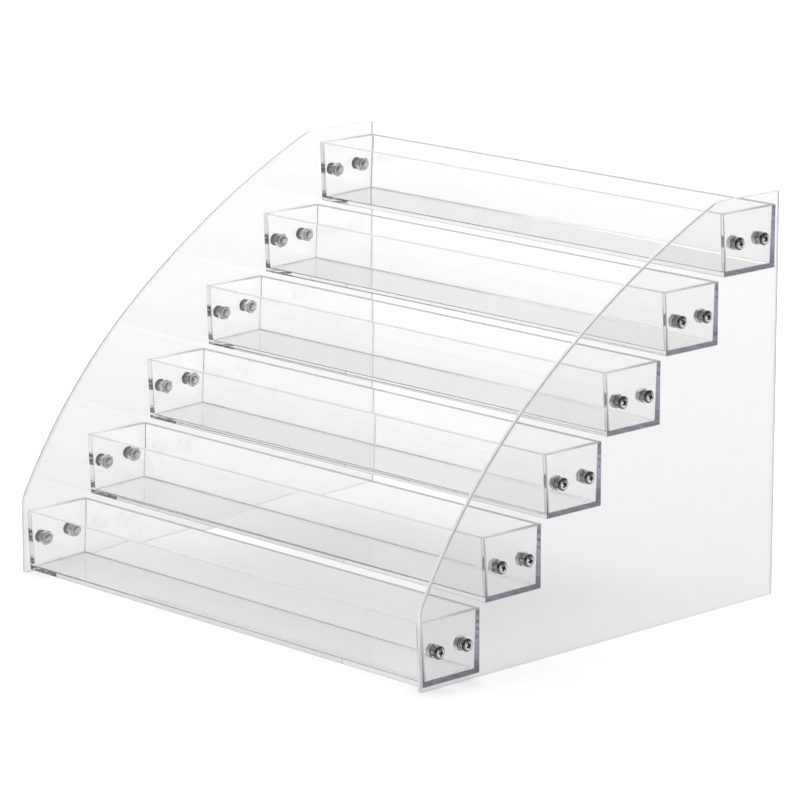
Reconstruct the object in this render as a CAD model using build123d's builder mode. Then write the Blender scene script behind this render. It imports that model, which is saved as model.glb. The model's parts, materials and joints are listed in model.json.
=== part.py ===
from build123d import *

import os
from math import cos, radians, sin

# Tiered nail polish rack: six clear open trays climb like stairs between two
# clear side panels, and two screws and nuts hold each end of each tray.
#
# Frame, in millimetres: X runs along the trays, Y from the front to the back
# and Z up. The origin is on the table, under the middle of the rack.

# Trays: moulded channels with a floor, two long walls and two end walls
tray_count = 6
tray_length = 316.0
tray_depth = 42.5
tray_height = 35.0
front_lean = 1.8  # how far the front wall's top stands in front of its foot
floor_thickness = 2.2
end_wall = 2.4
rim_wall = 1.4  # long walls at the rim
foot_wall = 2.5  # long walls at the floor
hollow_round = 0.8
edge_round = 0.4

# Stair: each tray's place from the one below it
step_depth = 45.0
step_height = 36.5
front_margin = 1.0  # panel's front edge to the lowest tray's front
foot_gap = 1.5  # table to the lowest tray's underside

# Side panels: flat sheet with a bowed front edge
panel_thickness = 3.0
panel_depth = 269.5
panel_height = 226.5
crown_length = 49.0  # straight top edge
crown_blend = 16.0
brow_slope = 22.8  # degrees below level where the bow leaves the top edge
brow_radius = 566.0
brow_sweep = 15.8  # degrees
nose_height = 42.5  # straight front edge
nose_blend = 14.0
sheet_edge_round = 0.25
seat_gap = 0.1  # hairline between a tray's end and its panel

# M4 pan-head screws with a cross recess, and their hex nuts
screw_spacing = 20.0
hole_radius = 2.2
shank_radius = 1.95
shank_length = 10.0
tip_bevel = 0.5
head_radius = 3.5
head_rim = 1.1
head_height = 2.3
head_round = 0.5
recess_span = 3.9
recess_width = 0.95
recess_depth = 1.5
recess_taper = 8.0  # degrees
nut_flats = 7.0
nut_height = 3.2
nut_bore = 2.0
nut_bevel = 30.0  # degrees off the nut's face
nut_turn = 23.0  # degrees between one tightened nut and the next
head_turn = 37.0  # degrees between one driven head and the next

panel_inner = tray_length / 2 + seat_gap
panel_outer = panel_inner + panel_thickness
tray_inner = tray_length / 2 - end_wall
sides = {"left": -1, "right": 1}
tray_numbers = range(1, tray_count + 1)


def tray_front(number):
    """Y of a tray's front edge at its rim."""
    return front_margin - panel_depth / 2 + (number - 1) * step_depth


def tray_foot(number):
    """Z of a tray's underside."""
    return foot_gap + (number - 1) * step_height


def screw_places(number):
    """Y and Z of the two screws through a tray's end, the front one first."""
    middle = tray_front(number) + tray_depth / 2
    height = tray_foot(number) + tray_height / 2
    return [(middle - screw_spacing / 2, height), (middle + screw_spacing / 2, height)]


def make_tray(number):
    """Open channel with drafted long walls, rounded inside and along its rim."""
    section = Plane(
        origin=(0, tray_front(number), tray_foot(number)),
        x_dir=(0, 1, 0),
        z_dir=(1, 0, 0),
    )
    floor_front = front_lean * (1 - floor_thickness / tray_height) + foot_wall
    with BuildPart() as tray:
        with BuildSketch(section):
            with BuildLine():
                Polyline(
                    (front_lean, 0),
                    (tray_depth, 0),
                    (tray_depth, tray_height),
                    (0, tray_height),
                    close=True,
                )
            make_face()
        extrude(amount=tray_length / 2, both=True)
        fillet(tray.edges(), radius=edge_round)

        with BuildSketch(section):
            with BuildLine():
                Polyline(
                    (floor_front, floor_thickness),
                    (tray_depth - foot_wall, floor_thickness),
                    (tray_depth - rim_wall, tray_height),
                    (rim_wall, tray_height),
                    close=True,
                )
            make_face()
        extrude(amount=tray_inner, both=True, mode=Mode.SUBTRACT)
        floor_edges, corner_edges, rim_edges = tray.edges(Select.LAST).group_by(Axis.Z)
        fillet(floor_edges + corner_edges, radius=hollow_round)
        rim_face = tray.faces().filter_by(Axis.Z).sort_by(Axis.Z)[-1]
        fillet(rim_face.inner_wires()[0].edges(), radius=edge_round)

        with BuildSketch(Plane.YZ):
            with Locations(*screw_places(number)):
                Circle(hole_radius)
        extrude(amount=tray_length, both=True, mode=Mode.SUBTRACT)
    return tray


def make_panel(side):
    """Flat sheet: straight foot, back, top and nose, joined at the front by two arcs."""
    low_face = min(side * panel_inner, side * panel_outer)
    half_depth = panel_depth / 2
    bow_start = (-cos(radians(brow_slope)), -sin(radians(brow_slope)))
    with BuildPart() as panel:
        with BuildSketch(Plane.YZ.offset(low_face)):
            with BuildLine():
                foot = Line((-half_depth, 0), (half_depth, 0))
                back = Line(foot @ 1, (half_depth, panel_height))
                crown = Line(back @ 1, (half_depth - crown_length, panel_height))
                brow = JernArc(crown @ 1, bow_start, brow_radius, brow_sweep)
                bow = TangentArc(brow @ 1, (-half_depth, nose_height), tangent=brow % 1)
                Line(bow @ 1, foot @ 0)
            make_face()
        extrude(amount=panel_thickness)

        corners = panel.edges().filter_by(Axis.X)
        crown_corner = (low_face, half_depth - crown_length, panel_height)
        nose_corner = (low_face, -half_depth, nose_height)
        fillet(corners.sort_by_distance(crown_corner)[0], radius=crown_blend)
        corners = panel.edges().filter_by(Axis.X)
        fillet(corners.sort_by_distance(nose_corner)[0], radius=nose_blend)
        fillet(panel.faces().filter_by(Axis.X).edges(), radius=sheet_edge_round)

        with BuildSketch(Plane.YZ.offset(low_face)):
            for number in tray_numbers:
                with Locations(*screw_places(number)):
                    Circle(hole_radius)
        extrude(amount=panel_thickness, mode=Mode.SUBTRACT)
    return panel


def make_screw():
    """One screw standing head up, its head's underside on the XY plane."""
    dome_height = head_height - head_rim
    dome_radius = (head_radius**2 + dome_height**2) / (2 * dome_height)
    with BuildPart() as screw:
        with BuildSketch(Plane.XZ) as half:
            with BuildLine():
                Polyline(
                    (0, head_height),
                    (0, -shank_length),
                    (shank_radius - tip_bevel, -shank_length),
                    (shank_radius, tip_bevel - shank_length),
                    (shank_radius, 0),
                    (head_radius, 0),
                    (head_radius, head_rim),
                )
                RadiusArc((0, head_height), (head_radius, head_rim), dome_radius)
            make_face()
            shoulder = half.vertices().sort_by_distance((head_radius, head_rim))[0]
            fillet(shoulder, radius=head_round)
        revolve(axis=Axis.Z)

        with BuildSketch(Plane.XY.offset(head_height)):
            Rectangle(recess_span, recess_width)
            Rectangle(recess_width, recess_span)
        extrude(amount=-recess_depth, taper=recess_taper, mode=Mode.SUBTRACT)
    return screw


def make_nut():
    """One hex nut standing on the XY plane, its corners turned off by a cone."""
    corner_radius = nut_flats / 2 / cos(radians(30))
    flat_radius = nut_flats / 2
    drop = (corner_radius - flat_radius) * sin(radians(nut_bevel)) / cos(radians(nut_bevel))
    with BuildPart() as nut:
        with BuildSketch(Plane.XY):
            RegularPolygon(radius=corner_radius, side_count=6)
        extrude(amount=nut_height)
        with BuildSketch(Plane.XZ):
            with BuildLine():
                Polyline(
                    (0, 0),
                    (flat_radius, 0),
                    (corner_radius, drop),
                    (corner_radius, nut_height - drop),
                    (flat_radius, nut_height),
                    (0, nut_height),
                    close=True,
                )
            make_face()
        revolve(axis=Axis.Z, mode=Mode.INTERSECT)
        with Locations((0, 0, nut_height)):
            Hole(nut_bore, nut_height)
    return nut


def seats(number, side, distance, turn):
    """Places at a tray's two screws, facing outwards at that distance from the middle."""
    places = []
    for index, (y, z) in enumerate(screw_places(number)):
        level = Plane(origin=(side * distance, y, z), x_dir=(0, 1, 0), z_dir=(side, 0, 0))
        angle = turn * (2 * number + index + 5 * side)
        places.append(level.location * Rotation(0, 0, angle))
    return places


def make_group(piece, places):
    """Copies of one piece, each a separate solid, standing at the places."""
    with BuildPart() as group:
        with Locations(*places):
            add(piece.part)
    return group


def write(built, name):
    built.part.label = name
    export_step(built.part, "parts/" + name + ".step")


os.makedirs("parts", exist_ok=True)

for side_name, side in sides.items():
    write(make_panel(side), side_name + "_panel")

for number in tray_numbers:
    write(make_tray(number), f"tray_{number}")

screw = make_screw()
nut = make_nut()
for side_name, side in sides.items():
    for number in tray_numbers:
        screw_seats = seats(number, side, panel_outer, head_turn)
        nut_seats = seats(number, side, tray_inner - nut_height, nut_turn)
        write(make_group(screw, screw_seats), f"tray_{number}_{side_name}_screws")
        write(make_group(nut, nut_seats), f"tray_{number}_{side_name}_nuts")
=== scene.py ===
import json
import math

import bmesh
import bpy
from mathutils import Matrix, Vector

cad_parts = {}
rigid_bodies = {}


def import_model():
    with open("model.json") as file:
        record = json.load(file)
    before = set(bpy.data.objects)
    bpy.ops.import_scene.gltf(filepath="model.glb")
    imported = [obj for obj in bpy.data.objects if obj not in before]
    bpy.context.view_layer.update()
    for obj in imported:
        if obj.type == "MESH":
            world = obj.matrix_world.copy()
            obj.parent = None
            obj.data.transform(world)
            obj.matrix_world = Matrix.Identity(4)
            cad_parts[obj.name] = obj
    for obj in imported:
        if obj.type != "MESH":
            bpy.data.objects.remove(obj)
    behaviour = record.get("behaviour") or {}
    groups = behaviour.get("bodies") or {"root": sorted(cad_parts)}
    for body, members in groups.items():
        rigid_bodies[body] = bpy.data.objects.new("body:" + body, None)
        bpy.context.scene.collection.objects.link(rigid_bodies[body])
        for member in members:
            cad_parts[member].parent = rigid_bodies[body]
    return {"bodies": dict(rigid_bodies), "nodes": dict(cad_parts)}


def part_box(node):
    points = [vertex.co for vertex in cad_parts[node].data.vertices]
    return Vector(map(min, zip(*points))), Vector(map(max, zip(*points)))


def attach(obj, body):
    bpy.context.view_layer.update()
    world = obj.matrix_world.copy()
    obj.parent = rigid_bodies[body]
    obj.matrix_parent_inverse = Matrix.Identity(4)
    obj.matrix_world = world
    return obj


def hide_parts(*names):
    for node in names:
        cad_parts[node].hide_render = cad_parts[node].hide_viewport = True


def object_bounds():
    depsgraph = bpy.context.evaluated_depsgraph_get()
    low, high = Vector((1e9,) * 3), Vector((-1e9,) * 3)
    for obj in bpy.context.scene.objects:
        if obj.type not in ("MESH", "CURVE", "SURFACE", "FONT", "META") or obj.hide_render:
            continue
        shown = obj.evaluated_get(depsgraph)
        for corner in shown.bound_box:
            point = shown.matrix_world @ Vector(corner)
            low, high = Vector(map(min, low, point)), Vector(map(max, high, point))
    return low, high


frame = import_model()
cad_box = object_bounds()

MM = 0.001
scene = bpy.context.scene
nodes = frame["nodes"]
low, high = cad_box
middle = (low + high) / 2

# The photographer's place: degrees round and above the rack, and metres from its middle
CAMERA_AZIMUTH = 46.14
CAMERA_ELEVATION = 13.13
CAMERA_DISTANCE = 2.366
CAMERA_LENS = 192.9
CAMERA_AIM = middle + Vector((4, 1, -8)) * MM

# Clear plastic: how it bends light, and how much of each colour is left after a metre of it
SHEET_IOR = 1.491
MOULD_IOR = 1.53
SHEET_AFTER_A_METRE = (0.30, 0.33, 0.42, 1)
MOULD_AFTER_A_METRE = (0.062, 0.067, 0.125, 1)
LONGEST_STEP = 30 * MM  # a longer step inside the plastic is tinted as this one

# Clear plastic: share of the light kept at each kind of surface. These losses are painted shade:
# dark lines at rounded edges and in hollows, what is seen through the first wall dimmed, and
# outside reflections dimmed.
SHEET_FIRST_KEEPS = 0.80  # at the first wall that the eye meets
MOULD_FIRST_KEEPS = 0.845
SHEET_EDGE_KEEPS = 1.0  # at rounded outer edges
MOULD_EDGE_KEEPS = 0.74
UNDER_EDGE_KEEPS = 0.6  # of that, where the edge faces down
HOLLOW_KEEPS = 0.97  # in rounded inner corners
LONG_HOLLOW_KEEPS = 0.88  # in those along a tray
SHEET_MIRROR = 0.3  # of what a flat face mirrors on its outside
MOULD_MIRROR = 0.7
EDGE_MIRROR = 0.15  # of what a rounded edge mirrors on its outside

# The bevel's darkness is painted shade.
SHEET_BEVEL = 1.3 * MM  # width of the darker bevel on the outside of a panel's cut edge

# M4 fasteners
THREAD_RADIUS = 1.97 * MM
THREAD_DEPTH = 0.42 * MM
THREAD_PITCH = 0.7 * MM
RINGS_PER_PITCH = 6
TIP_BEVEL = 0.18 * MM
SEAT_GAP = 0.02 * MM  # hairline under each head and behind each nut
RECESS_SPAN = 3.9 * MM
RECESS_WIDTH = 0.95 * MM
RECESS_DEPTH = 1.35 * MM
RECESS_WALL = 0.35 * MM
HEAD_TURN = 37  # degrees between one driven head and the next
NUT_FLATS = 7.0 * MM
NUT_BORE = 2.0 * MM
NUT_TURN = 23  # degrees between one tightened nut and the next
SCREW_SEGMENTS = 64
DOME_RINGS = 30
NUT_SEGMENTS = 72
SCREW_SMOOTH = 0.6  # edges that bend less than this many radians are shaded smooth
NUT_SMOOTH = 0.45


def face_away(side):
    """Turn that takes +Z away from the rack's middle along X."""
    return Matrix(((0, 0, side), (0, 1, 0), (-side, 0, 0))).to_4x4()


# ---------------------------------------------------------------- node helpers


class Tree:
    """A material's or world's node tree, with short calls for what repeats."""

    def __init__(self, owner):
        owner.use_nodes = True
        self.tree = owner.node_tree
        self.tree.nodes.clear()

    def node(self, kind, inputs=None, **settings):
        made = self.tree.nodes.new(kind)
        for key, value in settings.items():
            setattr(made, key, value)
        for key, value in (inputs or {}).items():
            if isinstance(value, bpy.types.NodeSocket):
                self.tree.links.new(value, made.inputs[key])
            else:
                made.inputs[key].default_value = value
        return made

    def math(self, operation, first, second=0.0, third=None):
        inputs = {0: first, 1: second}
        if third is not None:
            inputs[2] = third
        return self.node("ShaderNodeMath", inputs, operation=operation).outputs[0]

    def vector_math(self, operation, first, second):
        return self.node("ShaderNodeVectorMath", {0: first, 1: second}, operation=operation)

    def split(self, vector):
        return self.node("ShaderNodeSeparateXYZ", {0: vector}).outputs

    def spread(self, value, low_in, high_in, low_out, high_out):
        """Value carried from one range to another, smoothly and clamped."""
        inputs = {
            "Value": value,
            "From Min": low_in,
            "From Max": high_in,
            "To Min": low_out,
            "To Max": high_out,
        }
        made = self.node("ShaderNodeMapRange", inputs, interpolation_type="SMOOTHSTEP")
        return made.outputs["Result"]

    def noise(self, place, scale, detail=2.0, roughness=0.5):
        inputs = {"Vector": place, "Scale": scale, "Detail": detail, "Roughness": roughness}
        return self.node("ShaderNodeTexNoise", inputs).outputs["Fac"]

    def stretched(self, place, factors, turn=(0, 0, 0)):
        inputs = {"Vector": place, "Scale": factors, "Rotation": turn}
        return self.node("ShaderNodeMapping", inputs).outputs["Vector"]

    def mixed(self, share, first, second):
        """Shader first, with that share of shader second over it."""
        return self.node("ShaderNodeMixShader", {0: share, 1: first, 2: second}).outputs[0]

    def scaled(self, colour, factor):
        made = self.node("ShaderNodeVectorMath", {0: colour, "Scale": factor}, operation="SCALE")
        return made.outputs[0]

    def blend(self, share, first, second):
        """Number first, taken that share of the way to number second."""
        return self.node("ShaderNodeMix", {0: share, 2: first, 3: second}).outputs[0]

    def grey(self, shade):
        return self.node("ShaderNodeCombineColor", {0: shade, 1: shade, 2: shade}).outputs[0]

    def bump(self, height, distance, strength=1.0, below=None):
        inputs = {"Height": height, "Distance": distance, "Strength": strength}
        if below is not None:
            inputs["Normal"] = below
        return self.node("ShaderNodeBump", inputs).outputs["Normal"]


# ------------------------------------------------------------------- materials


def scuffed_normal(tree, place, wave_size, wave_depth, scratch_depth):
    """Surface normal with a long moulding wave under two directions of hairline scratches."""
    wave = tree.noise(place, 1 / wave_size, detail=1.0)
    normal = tree.bump(wave, wave_depth)
    long_scratches = tree.stretched(place, (90, 900, 900), (0.3, 0.2, 0.5))
    cross_scratches = tree.stretched(place, (800, 120, 700), (0.1, 0.7, -0.4))
    for scratches in (long_scratches, cross_scratches):
        lines = tree.noise(scratches, 1.0, detail=0.0)
        thin = tree.spread(lines, 0.66, 0.72, 0.0, 1.0)
        normal = tree.bump(thin, scratch_depth, below=normal)
    return normal


def rounded_places(tree, normal):
    """1 on every rounded edge, 0 on faces square to the rack; then the same, hollows left out.
    Inside the plastic the normal is turned round, so there edges and hollows change places."""
    parts = tree.split(normal)
    sizes = [tree.math("ABSOLUTE", parts[axis]) for axis in ("X", "Y", "Z")]
    most = tree.math("MAXIMUM", tree.math("MAXIMUM", sizes[0], sizes[1]), sizes[2])
    rounded = tree.spread(most, 0.95, 0.993, 1.0, 0.0)
    corner = tree.node("ShaderNodeTexCoord").outputs["Generated"]
    outwards = tree.vector_math("SUBTRACT", corner, (0.5, 0.5, 0.5)).outputs[0]
    leaning = tree.vector_math("DOT_PRODUCT", outwards, normal).outputs["Value"]
    standing = tree.math("MULTIPLY", rounded, tree.math("GREATER_THAN", leaning, 0.0))
    return rounded, standing


def clear_body(tree, normal, ior, after_a_metre, first_keeps, edge_keeps, mirror_keeps):
    """Shader that bends and mirrors light and darkens with the way travelled inside.
    It also loses a little at the first wall that the eye meets, at rounded edges and in hollows,
    and mirrors less on its outside: all of this is painted shade."""
    path = tree.node("ShaderNodeLightPath").outputs
    facing = tree.node("ShaderNodeNewGeometry").outputs
    place = tree.node("ShaderNodeTexCoord").outputs["Object"]
    haze = tree.noise(place, 18, detail=4.0, roughness=0.6)
    roughness = tree.spread(haze, 0.45, 0.8, 0.0, 0.035)

    step = tree.math("MINIMUM", path["Ray Length"], LONGEST_STEP)
    inside = tree.math("MULTIPLY", step, facing["Backfacing"])
    tint = tree.node("ShaderNodeGamma", {"Color": after_a_metre, "Gamma": inside}).outputs[0]
    entering = tree.math("SUBTRACT", 1.0, facing["Backfacing"])
    rounded, standing = rounded_places(tree, facing["Normal"])
    parts = tree.split(facing["Normal"])
    lengthways = tree.math("ABSOLUTE", parts["X"])
    # Painted shade: darker lines in rounded hollows and at rounded edges, most where an edge faces
    # down.
    hollow_keeps = tree.spread(lengthways, 0.1, 0.3, LONG_HOLLOW_KEEPS, HOLLOW_KEEPS)
    painted_hollow_shade = tree.blend(rounded, 1.0, hollow_keeps)
    under = tree.spread(parts["Z"], -0.6, -0.2, UNDER_EDGE_KEEPS, 1.0)
    painted_edge_shade = tree.blend(standing, painted_hollow_shade, tree.math("MULTIPLY", under, edge_keeps))
    # Painted shade: all that is seen through the first wall is dimmed.
    first = tree.math("LESS_THAN", path["Transmission Depth"], 0.5)
    painted_wall_shade = tree.blend(tree.math("MULTIPLY", first, entering), 1.0, first_keeps)
    # Painted shade: reflections on the outside dimmed, most on rounded edges.
    outer_mirror = tree.blend(rounded, mirror_keeps, EDGE_MIRROR)
    mirror_share = tree.blend(entering, 1.0, outer_mirror)

    lobes = []
    for kind, share in (
        ("ShaderNodeBsdfRefraction", tree.math("MULTIPLY", painted_edge_shade, painted_wall_shade)),
        ("ShaderNodeBsdfGlossy", tree.math("MULTIPLY", painted_edge_shade, mirror_share)),
    ):
        colour = tree.scaled(tint, share)
        lobe = tree.node(kind, {"Color": colour, "Roughness": roughness, "Normal": normal})
        if "IOR" in lobe.inputs:
            lobe.inputs["IOR"].default_value = ior
        lobes.append(lobe.outputs[0])
    mirrored = tree.node("ShaderNodeFresnel", {"IOR": ior, "Normal": normal}).outputs[0]
    return tree.mixed(mirrored, lobes[0], lobes[1])


def sanded_body(tree, place, shade, lit_share):
    """Finely sanded plastic: matt, and lit through from behind by that share."""
    strokes = tree.noise(tree.stretched(place, (2500, 160, 160)), 1.0, detail=3.0)
    worn = tree.spread(strokes, 0.25, 0.75, 0.92, 1.08)
    # The shade given by the caller is painted shade, laid over random wear strokes.
    colour = tree.grey(tree.math("MULTIPLY", worn, shade))
    matt = tree.node("ShaderNodeBsdfDiffuse", {"Color": colour}).outputs[0]
    lit_through = tree.node("ShaderNodeBsdfTranslucent", {"Color": colour}).outputs[0]
    return tree.mixed(lit_share, matt, lit_through)


def lets_lamps_through(tree, body, square_on, edge_on):
    """Body for the eye, but plain clearness for shadows and for light off matt things."""
    path = tree.node("ShaderNodeLightPath").outputs
    slant = tree.node("ShaderNodeLayerWeight", {"Blend": 0.5}).outputs["Facing"]
    kept = tree.spread(slant, 0.35, 1.0, square_on, edge_on)
    through = tree.node("ShaderNodeBsdfTransparent", {"Color": tree.grey(kept)}).outputs[0]
    bare = tree.math("MAXIMUM", path["Is Shadow Ray"], path["Is Diffuse Ray"])
    return tree.mixed(bare, body, through)


def clear_sheet():
    """Cast sheet. Its cut edge is sanded except underneath, with painted shade: darker on the
    outer bevel, the more so where it faces up, lighter along the level top and darkest at the
    back."""
    material = bpy.data.materials.new("clear_sheet")
    tree = Tree(material)
    place = tree.node("ShaderNodeTexCoord").outputs["Object"]
    normal = scuffed_normal(tree, place, 70 * MM, 2e-6, 2e-7)
    body = clear_body(
        tree,
        normal,
        SHEET_IOR,
        SHEET_AFTER_A_METRE,
        SHEET_FIRST_KEEPS,
        SHEET_EDGE_KEEPS,
        SHEET_MIRROR,
    )

    facing = tree.split(tree.node("ShaderNodeNewGeometry").outputs["Normal"])
    across = tree.math("ABSOLUTE", tree.split(place)["X"])
    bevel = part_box("right_panel")[1].x - SHEET_BEVEL
    bevelled = tree.spread(across, bevel - 0.2 * MM, bevel, 0.0, 1.0)
    # Painted shade on the sanded cut edge, set by which way it faces and how far out across the
    # sheet it lies.
    bevel_painted_shade = tree.spread(facing["Z"], 0.2, 0.8, 0.68, 0.52)
    level = tree.spread(facing["Z"], 0.93, 0.99, 0.0, 1.0)
    behind = tree.spread(facing["Y"], 0.6, 0.8, 0.0, 1.0)
    front_painted_shade = tree.blend(bevelled, 0.93, bevel_painted_shade)
    shade = tree.blend(behind, tree.blend(level, front_painted_shade, 0.85), 0.35)
    cut = tree.spread(tree.math("ABSOLUTE", facing["X"]), 0.25, 0.9, 1.0, 0.0)
    above = tree.spread(facing["Z"], -0.6, -0.3, 0.0, 1.0)
    sanded = tree.math("MULTIPLY", cut, above)
    body = tree.mixed(sanded, body, sanded_body(tree, place, shade, 0.75))
    tree.node("ShaderNodeOutputMaterial", {"Surface": lets_lamps_through(tree, body, 1.0, 0.97)})
    return material


def clear_moulding():
    """Moulded tray plastic, its rim scuffed matt, with painted shade making the rim darker towards
    the back.
    """
    material = bpy.data.materials.new("clear_moulding")
    tree = Tree(material)
    coordinates = tree.node("ShaderNodeTexCoord").outputs
    place = coordinates["Object"]
    normal = scuffed_normal(tree, place, 24 * MM, 4e-6, 2e-7)
    body = clear_body(
        tree,
        normal,
        MOULD_IOR,
        MOULD_AFTER_A_METRE,
        MOULD_FIRST_KEEPS,
        MOULD_EDGE_KEEPS,
        MOULD_MIRROR,
    )

    share = tree.split(coordinates["Generated"])
    outside = tree.math("SUBTRACT", 1.0, tree.node("ShaderNodeNewGeometry").outputs["Backfacing"])
    rim = tree.math("MULTIPLY", tree.spread(share["Z"], 0.974, 0.984, 0.0, 0.7), outside)
    # Painted shade: the rim goes from light at the front to dark at the back.
    rim_painted_shade = tree.spread(share["Y"], 0.2, 0.8, 0.92, 0.58)
    body = tree.mixed(rim, body, sanded_body(tree, place, rim_painted_shade, 0.45))
    tree.node("ShaderNodeOutputMaterial", {"Surface": lets_lamps_through(tree, body, 0.98, 0.92)})
    return material


def plated_steel(name, colour, low_roughness, high_roughness):
    """Bright plating with turning rings about each fastener's own axis, dull spots and
    painted shade where the mesh says so."""
    material = bpy.data.materials.new(name)
    tree = Tree(material)
    local = tree.node("ShaderNodeAttribute", attribute_name="local").outputs["Vector"]
    spot = tree.split(local)
    squares = tree.math("MULTIPLY", spot["X"], spot["X"])
    radius = tree.math("SQRT", tree.math("MULTIPLY_ADD", spot["Y"], spot["Y"], squares))
    ring_pitch = 0.12 * MM
    rings = tree.math("SINE", tree.math("MULTIPLY", radius, 2 * math.pi / ring_pitch))
    spots = tree.noise(local, 900, detail=3.0)
    roughness = tree.spread(spots, 0.3, 0.75, low_roughness, high_roughness)
    dull = tree.noise(local, 350, detail=2.0)
    # Painted shade from the mesh: recesses, thread roots, the bore and the edges of heads and nuts
    # go darker.
    painted_shade = tree.node("ShaderNodeAttribute", attribute_name="painted_shade").outputs["Fac"]
    unshaded = tree.spread(painted_shade, 0.0, 1.0, 1.0, 0.12)
    shade = tree.math("MULTIPLY", tree.spread(dull, 0.35, 0.8, 1.0, 0.82), unshaded)
    steel = tree.node(
        "ShaderNodeBsdfPrincipled",
        {
            "Base Color": tree.scaled(colour, shade),
            "Metallic": 1.0,
            "Roughness": roughness,
            "Normal": tree.bump(rings, 1.5e-6, 0.4),
        },
    )
    tree.node("ShaderNodeOutputMaterial", {"Surface": steel.outputs[0]})
    return material


def pale_floor():
    """Matt white sweep with a barely visible grain and a soft shade under the rack."""
    material = bpy.data.materials.new("pale_floor")
    tree = Tree(material)
    place = tree.node("ShaderNodeTexCoord").outputs["Object"]
    grain = tree.noise(place, 60, detail=4.0)
    spot = tree.split(place)
    shaded = 1.0
    for axis, start, end in (("X", low.x, high.x), ("Y", low.y, high.y)):
        off_middle = tree.math("ABSOLUTE", tree.math("SUBTRACT", spot[axis], (start + end) / 2))
        inwards = tree.math("SUBTRACT", (end - start) / 2, off_middle)
        shaded = tree.math("MULTIPLY", shaded, tree.spread(inwards, 0.0, 110 * MM, 0.0, 1.0))
    shade = tree.spread(grain, 0.2, 0.8, 0.92, 0.94)
    shade = tree.math("MULTIPLY", shade, tree.blend(shaded, 1.0, 0.88))
    colour = tree.scaled((1.01, 0.99, 1.0), shade)
    matt = tree.node("ShaderNodeBsdfDiffuse", {"Color": colour})
    tree.node("ShaderNodeOutputMaterial", {"Surface": matt.outputs[0]})
    return material


# ------------------------------------------------------------------- fasteners


class Turned:
    """A mesh made of rings about +Z, kept with how much painted shade each vertex gets, from 0 to
    1.
    """

    def __init__(self):
        self.vertices = []
        self.painted_shade = []
        self.faces = []

    def ring(self, points, painted_shade=0.0):
        first = len(self.vertices)
        self.vertices.extend(points)
        self.painted_shade.extend(painted_shade if isinstance(painted_shade, list) else [painted_shade] * len(points))
        return list(range(first, len(self.vertices)))

    def join(self, lower, upper):
        """Quads between two rings of equal count."""
        count = len(lower)
        for i in range(count):
            j = (i + 1) % count
            self.faces.append((lower[i], lower[j], upper[j], upper[i]))

    def cap(self, ring, upwards):
        self.faces.append(tuple(ring) if upwards else tuple(reversed(ring)))


def circle(radius, height, count=SCREW_SEGMENTS):
    return [
        (
            radius * math.cos(2 * math.pi * i / count),
            radius * math.sin(2 * math.pi * i / count),
            height,
        )
        for i in range(count)
    ]


def ease(value, start, end):
    share = min(max((value - start) / (end - start), 0.0), 1.0)
    return share * share * (3 - 2 * share)


def recess_depth(x, y):
    """Depth of the cross recess under a point of the head."""
    narrow = min(abs(x), abs(y))
    wide = max(abs(x), abs(y))
    inner = (RECESS_WIDTH - RECESS_WALL) / 2
    across = 1 - ease(narrow, inner, inner + RECESS_WALL)
    along = 1 - ease(wide, RECESS_SPAN * 0.26, RECESS_SPAN / 2)
    return RECESS_DEPTH * across * along


def screw_mesh(head_radius, head_height, length):
    """Pan head with a cross recess above the XY plane, threaded shank below it."""
    made = Turned()
    rim = head_height * 0.42
    dome = head_height - rim
    dome_radius = (head_radius**2 + dome**2) / (2 * dome)
    core = THREAD_RADIUS - THREAD_DEPTH

    # threaded shank, from the bevelled tip to just under the head
    ring_count = int(length / THREAD_PITCH * RINGS_PER_PITCH)
    previous = None
    for k in range(ring_count + 1):
        height = -length + length * k / ring_count
        points = []
        painted_shade = []
        for i in range(SCREW_SEGMENTS):
            angle = 2 * math.pi * i / SCREW_SEGMENTS
            phase = (height / THREAD_PITCH - i / SCREW_SEGMENTS) % 1.0
            crest = 1 - abs(2 * phase - 1)
            ridge = min(max((crest - 0.12) / 0.7, 0.0), 1.0)
            start = ease(height, -length, -length + THREAD_PITCH)
            end = 1 - ease(height, -0.9 * THREAD_PITCH, -0.2 * THREAD_PITCH)
            radius = core + THREAD_DEPTH * ridge * start * end
            points.append((radius * math.cos(angle), radius * math.sin(angle), height))
            # Painted shade in the thread's roots, none on the crests.
            painted_shade.append(0.7 * (1 - ridge))
        ring = made.ring(points, painted_shade)
        if previous:
            made.join(previous, ring)
        else:
            tip = made.ring(circle(core * 0.86, -length - TIP_BEVEL))
            made.cap(tip, upwards=False)
            made.join(tip, ring)
        previous = ring

    # underside, rim and rounded shoulder
    shoulder = 0.45 * MM
    # The third number is painted shade, darkest under the head and on the rim's side.
    outline = [
        (head_radius - 0.12 * MM, 0, 1.0),
        (head_radius, 0.12 * MM, 1.0),
        (head_radius, rim - shoulder, 0.9),
        (head_radius, rim - shoulder * 0.3, 0.85),
    ]
    for radius, height, painted_shade in outline:
        ring = made.ring(circle(radius, height), painted_shade)
        made.join(previous, ring)
        previous = ring

    # dome, with the recess pressed into it
    for k in range(1, DOME_RINGS + 1):
        radius = head_radius * (1 - k / (DOME_RINGS + 1)) ** 0.9
        height = head_height - (dome_radius - math.sqrt(dome_radius**2 - radius**2))
        edge = ease(radius, head_radius - shoulder, head_radius)
        height -= edge * shoulder * 0.25
        surface = circle(radius, height)
        depths = [recess_depth(x, y) for x, y, z in surface]
        points = [(x, y, z - depth) for (x, y, z), depth in zip(surface, depths)]
        # Painted shade in the cross recess and round the outer edge of the dome.
        dome_edge_painted_shade = 0.8 * ease(radius, 0.62 * head_radius, 0.86 * head_radius)
        painted_shade = [max(dome_edge_painted_shade, min(1.0, 1.3 * depth / RECESS_DEPTH)) for depth in depths]
        ring = made.ring(points, painted_shade)
        made.join(previous, ring)
        previous = ring
    made.cap(previous, upwards=True)
    return made


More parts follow.
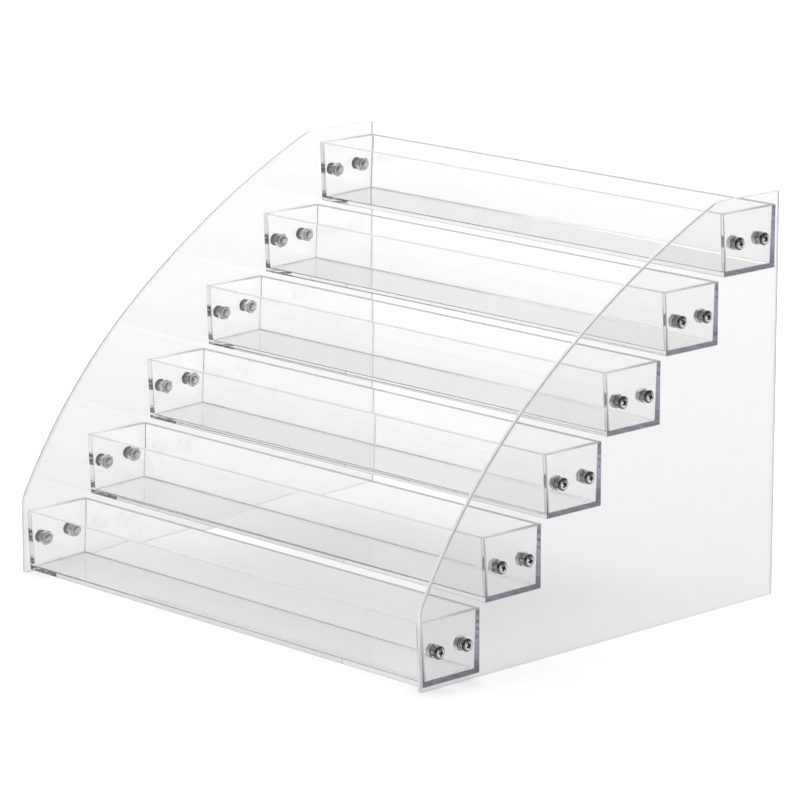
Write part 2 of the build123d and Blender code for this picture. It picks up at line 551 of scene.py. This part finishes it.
def nut_mesh(height):
    """Hex nut on the XY plane: corners turned off by a cone, bore opened by a bevel."""
    made = Turned()
    apothem = NUT_FLATS / 2
    slope = math.tan(math.radians(30))
    edge = 0.08 * MM

    def hexagon(shrink, level):
        """Ring on the hexagon's outline, pulled under the chamfer cones."""
        points = []
        for i in range(NUT_SEGMENTS):
            angle = 2 * math.pi * i / NUT_SEGMENTS
            sector = (angle + math.pi / 6) % (math.pi / 3) - math.pi / 6
            reach = (apothem - shrink) / math.cos(sector)
            points.append((reach * math.cos(angle), reach * math.sin(angle), level(reach)))
        return points

    def bottom(reach):
        return max(0.0, (reach - apothem) * slope)

    def top(reach):
        return height - max(0.0, (reach - apothem) * slope)

    bevel = 0.35 * MM
    fade = 0.2 * MM
    # The second number of each ring is its painted shade: darkest in the bore, and along the nut's
    # edges.
    rings = [
        (circle(NUT_BORE, height / 2, NUT_SEGMENTS), 1.0),
        (circle(NUT_BORE, bevel, NUT_SEGMENTS), 1.0),
        (circle(NUT_BORE + bevel, 0, NUT_SEGMENTS), 0.8),
        (circle(NUT_BORE + bevel + fade, 0, NUT_SEGMENTS), 0.0),
        (circle(apothem - 0.25 * MM, 0, NUT_SEGMENTS), 0.0),
        (hexagon(edge, bottom), 0.85),
        (hexagon(0, lambda reach: bottom(reach) + edge), 0.85),
        (hexagon(0, lambda reach: bottom(reach) + edge + fade), 0.0),
        (hexagon(0, lambda reach: top(reach) - edge - fade), 0.0),
        (hexagon(0, lambda reach: top(reach) - edge), 0.85),
        (hexagon(edge, top), 0.85),
        (circle(apothem - 0.25 * MM, height, NUT_SEGMENTS), 0.0),
        (circle(NUT_BORE + bevel + fade, height, NUT_SEGMENTS), 0.0),
        (circle(NUT_BORE + bevel, height, NUT_SEGMENTS), 0.8),
        (circle(NUT_BORE, height - bevel, NUT_SEGMENTS), 1.0),
    ]
    loops = [made.ring(points, painted_shade) for points, painted_shade in rings]
    for lower, upper in zip(loops, loops[1:] + loops[:1]):
        made.join(lower, upper)
    return made


def place_pair(name, shape, matrices, material, smooth_angle):
    """One object holding a copy of the shape at each matrix, with its local places stored."""
    mesh = bpy.data.meshes.new(name)
    vertices = []
    faces = []
    for matrix in matrices:
        first = len(vertices)
        vertices.extend(matrix @ Vector(v) for v in shape.vertices)
        faces.extend(tuple(first + i for i in face) for face in shape.faces)
    mesh.from_pydata(vertices, [], faces)
    local = mesh.attributes.new("local", "FLOAT_VECTOR", "POINT")
    flat = [c for _ in matrices for v in shape.vertices for c in v]
    local.data.foreach_set("vector", flat)
    painted_shade = mesh.attributes.new("painted_shade", "FLOAT", "POINT")
    painted_shade.data.foreach_set("value", shape.painted_shade * len(matrices))

    work = bmesh.new()
    work.from_mesh(mesh)
    bmesh.ops.recalc_face_normals(work, faces=work.faces)
    for edge in work.edges:
        edge.smooth = len(edge.link_faces) == 2 and edge.calc_face_angle(0) < smooth_angle
    for face in work.faces:
        face.smooth = True
    work.to_mesh(mesh)
    work.free()

    piece = bpy.data.objects.new(name, mesh)
    scene.collection.objects.link(piece)
    mesh.materials.append(material)
    return piece


def make_fasteners(steel_heads, steel_nuts):
    """Threaded screws and chamfered nuts in place of each tray end's plain CAD ones."""
    bodies = list(frame["bodies"])
    trays = sorted(n for n in nodes if n.startswith("tray_") and n.count("_") == 1)
    screw = None
    nut = None
    for number, tray in enumerate(trays, start=1):
        for side_name, side in (("left", -1), ("right", 1)):
            screws_node = f"{tray}_{side_name}_screws"
            nuts_node = f"{tray}_{side_name}_nuts"
            screws_low, screws_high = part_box(screws_node)
            nuts_low, nuts_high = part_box(nuts_node)
            panel_low, panel_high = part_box(f"{side_name}_panel")
            head_radius = (screws_high.z - screws_low.z) / 2
            level = (screws_high.z + screws_low.z) / 2
            rows = (screws_low.y + head_radius, screws_high.y - head_radius)
            seat = max(side * panel_low.x, side * panel_high.x)
            head_top = max(side * screws_low.x, side * screws_high.x)
            tip = min(side * screws_low.x, side * screws_high.x)
            nut_inner = min(side * nuts_low.x, side * nuts_high.x)
            if screw is None:
                screw = screw_mesh(head_radius, head_top - seat - SEAT_GAP, seat - tip - TIP_BEVEL)
                nut = nut_mesh(nuts_high.x - nuts_low.x - SEAT_GAP)

            screw_places = []
            nut_places = []
            for index, row in enumerate(rows):
                count = 2 * number + index + 5 * side
                driven = math.radians(HEAD_TURN * count)
                tightened = math.radians(NUT_TURN * count)
                head_at = Matrix.Translation((side * (seat + SEAT_GAP), row, level))
                nut_at = Matrix.Translation((side * nut_inner, row, level))
                outwards = face_away(side)
                screw_places.append(head_at @ outwards @ Matrix.Rotation(driven, 4, "Z"))
                nut_places.append(nut_at @ outwards @ Matrix.Rotation(tightened, 4, "Z"))

            screws_name = f"threaded_screws_{number}_{side_name}"
            nuts_name = f"hex_nuts_{number}_{side_name}"
            screws = place_pair(screws_name, screw, screw_places, steel_heads, SCREW_SMOOTH)
            nuts = place_pair(nuts_name, nut, nut_places, steel_nuts, NUT_SMOOTH)
            for piece, node, slot in (
                (screws, screws_node, "screws"),
                (nuts, nuts_node, "nuts"),
            ):
                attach(piece, bodies[0])
                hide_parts(node)


# ----------------------------------------------------------------- the surroundings


def make_floor():
    """Pale sweep far wider than the rack, under its panels' feet."""
    half = 20.0
    drop = 0.2 * MM
    mesh = bpy.data.meshes.new("floor")
    corners = [(-half, -half, 0), (half, -half, 0), (half, half, 0), (-half, half, 0)]
    mesh.from_pydata(corners, [], [(0, 1, 2, 3)])
    mesh.materials.append(pale_floor())
    floor = bpy.data.objects.new("floor", mesh)
    floor.location.z = low.z - drop
    scene.collection.objects.link(floor)


def make_world():
    """Studio: a lit sweep across from the camera, a soft ceiling, and dim walls."""
    world = bpy.data.worlds.new("studio")
    scene.world = world
    tree = Tree(world)
    direction = tree.node("ShaderNodeTexCoord").outputs["Generated"]
    rise = tree.split(direction)["Z"]
    azimuth = math.radians(CAMERA_AZIMUTH)
    towards_camera = (math.sin(azimuth), -math.cos(azimuth), 0)
    behind = tree.vector_math("DOT_PRODUCT", direction, towards_camera).outputs["Value"]
    sweep = tree.spread(behind, -0.8, -0.1, 0.95, 0.0)
    below_top = tree.spread(rise, 0.5, 0.9, 1.0, 0.0)
    ceiling = tree.spread(rise, 0.5, 0.9, 0.0, 0.28)
    walls = 0.14
    strength = tree.math("MULTIPLY_ADD", sweep, below_top, tree.math("ADD", ceiling, walls))
    background = tree.node("ShaderNodeBackground", {"Color": (1, 1, 1, 1), "Strength": strength})
    tree.node("ShaderNodeOutputWorld", {"Surface": background.outputs[0]})


def make_lamp(name, location, aim, size, power):
    lamp = bpy.data.lights.new(name, "AREA")
    lamp.shape = "RECTANGLE"
    lamp.size, lamp.size_y = size
    lamp.energy = power
    made = bpy.data.objects.new(name, lamp)
    made.location = location
    made.rotation_mode = "QUATERNION"
    made.rotation_quaternion = (Vector(aim) - Vector(location)).to_track_quat("-Z", "Y")
    scene.collection.objects.link(made)
    return made


def make_camera():
    azimuth = math.radians(CAMERA_AZIMUTH)
    elevation = math.radians(CAMERA_ELEVATION)
    back = Vector(
        (
            math.sin(azimuth) * math.cos(elevation),
            -math.cos(azimuth) * math.cos(elevation),
            math.sin(elevation),
        )
    )
    data = bpy.data.cameras.new("camera")
    data.lens = CAMERA_LENS
    data.sensor_width = 36
    data.clip_start = 0.01
    data.clip_end = 100
    camera = bpy.data.objects.new("camera", data)
    camera.location = CAMERA_AIM + back * CAMERA_DISTANCE
    camera.rotation_mode = "QUATERNION"
    camera.rotation_quaternion = (-back).to_track_quat("-Z", "Y")
    scene.collection.objects.link(camera)
    scene.camera = camera


def set_light_paths():
    """Enough bounces for light to run the whole length of a tray inside its walls."""
    cycles = scene.cycles
    cycles.max_bounces = 160
    cycles.glossy_bounces = 160
    cycles.transmission_bounces = 160
    cycles.transparent_max_bounces = 64
    cycles.diffuse_bounces = 3
    scene.view_settings.view_transform = "Standard"
    scene.view_settings.look = "None"


# ------------------------------------------------------------------------ build

sheet = clear_sheet()
mould = clear_moulding()
head_steel = plated_steel("plated_steel", (0.62, 0.62, 0.63), 0.14, 0.24)
nut_steel = plated_steel("plated_steel_nuts", (0.74, 0.74, 0.75), 0.30, 0.45)

for node_name, node in nodes.items():
    if node_name.endswith("_panel"):
        node.material_slots[0].material = sheet
    elif node_name.count("_") == 1:
        node.material_slots[0].material = mould

make_fasteners(head_steel, nut_steel)
make_floor()
make_world()
overhead = make_lamp("overhead", (-1.08, 1.04, 3.0), (-1.08, 1.04, 0), (3.4, 3.4), 123)
overhead.visible_glossy = False  # steel would only show it as blown white facets
make_lamp("right_strip", (2.0, -0.3, 0.6), (0, 0, 0.1), (0.5, 1.2), 3.2)
make_camera()
set_light_paths()
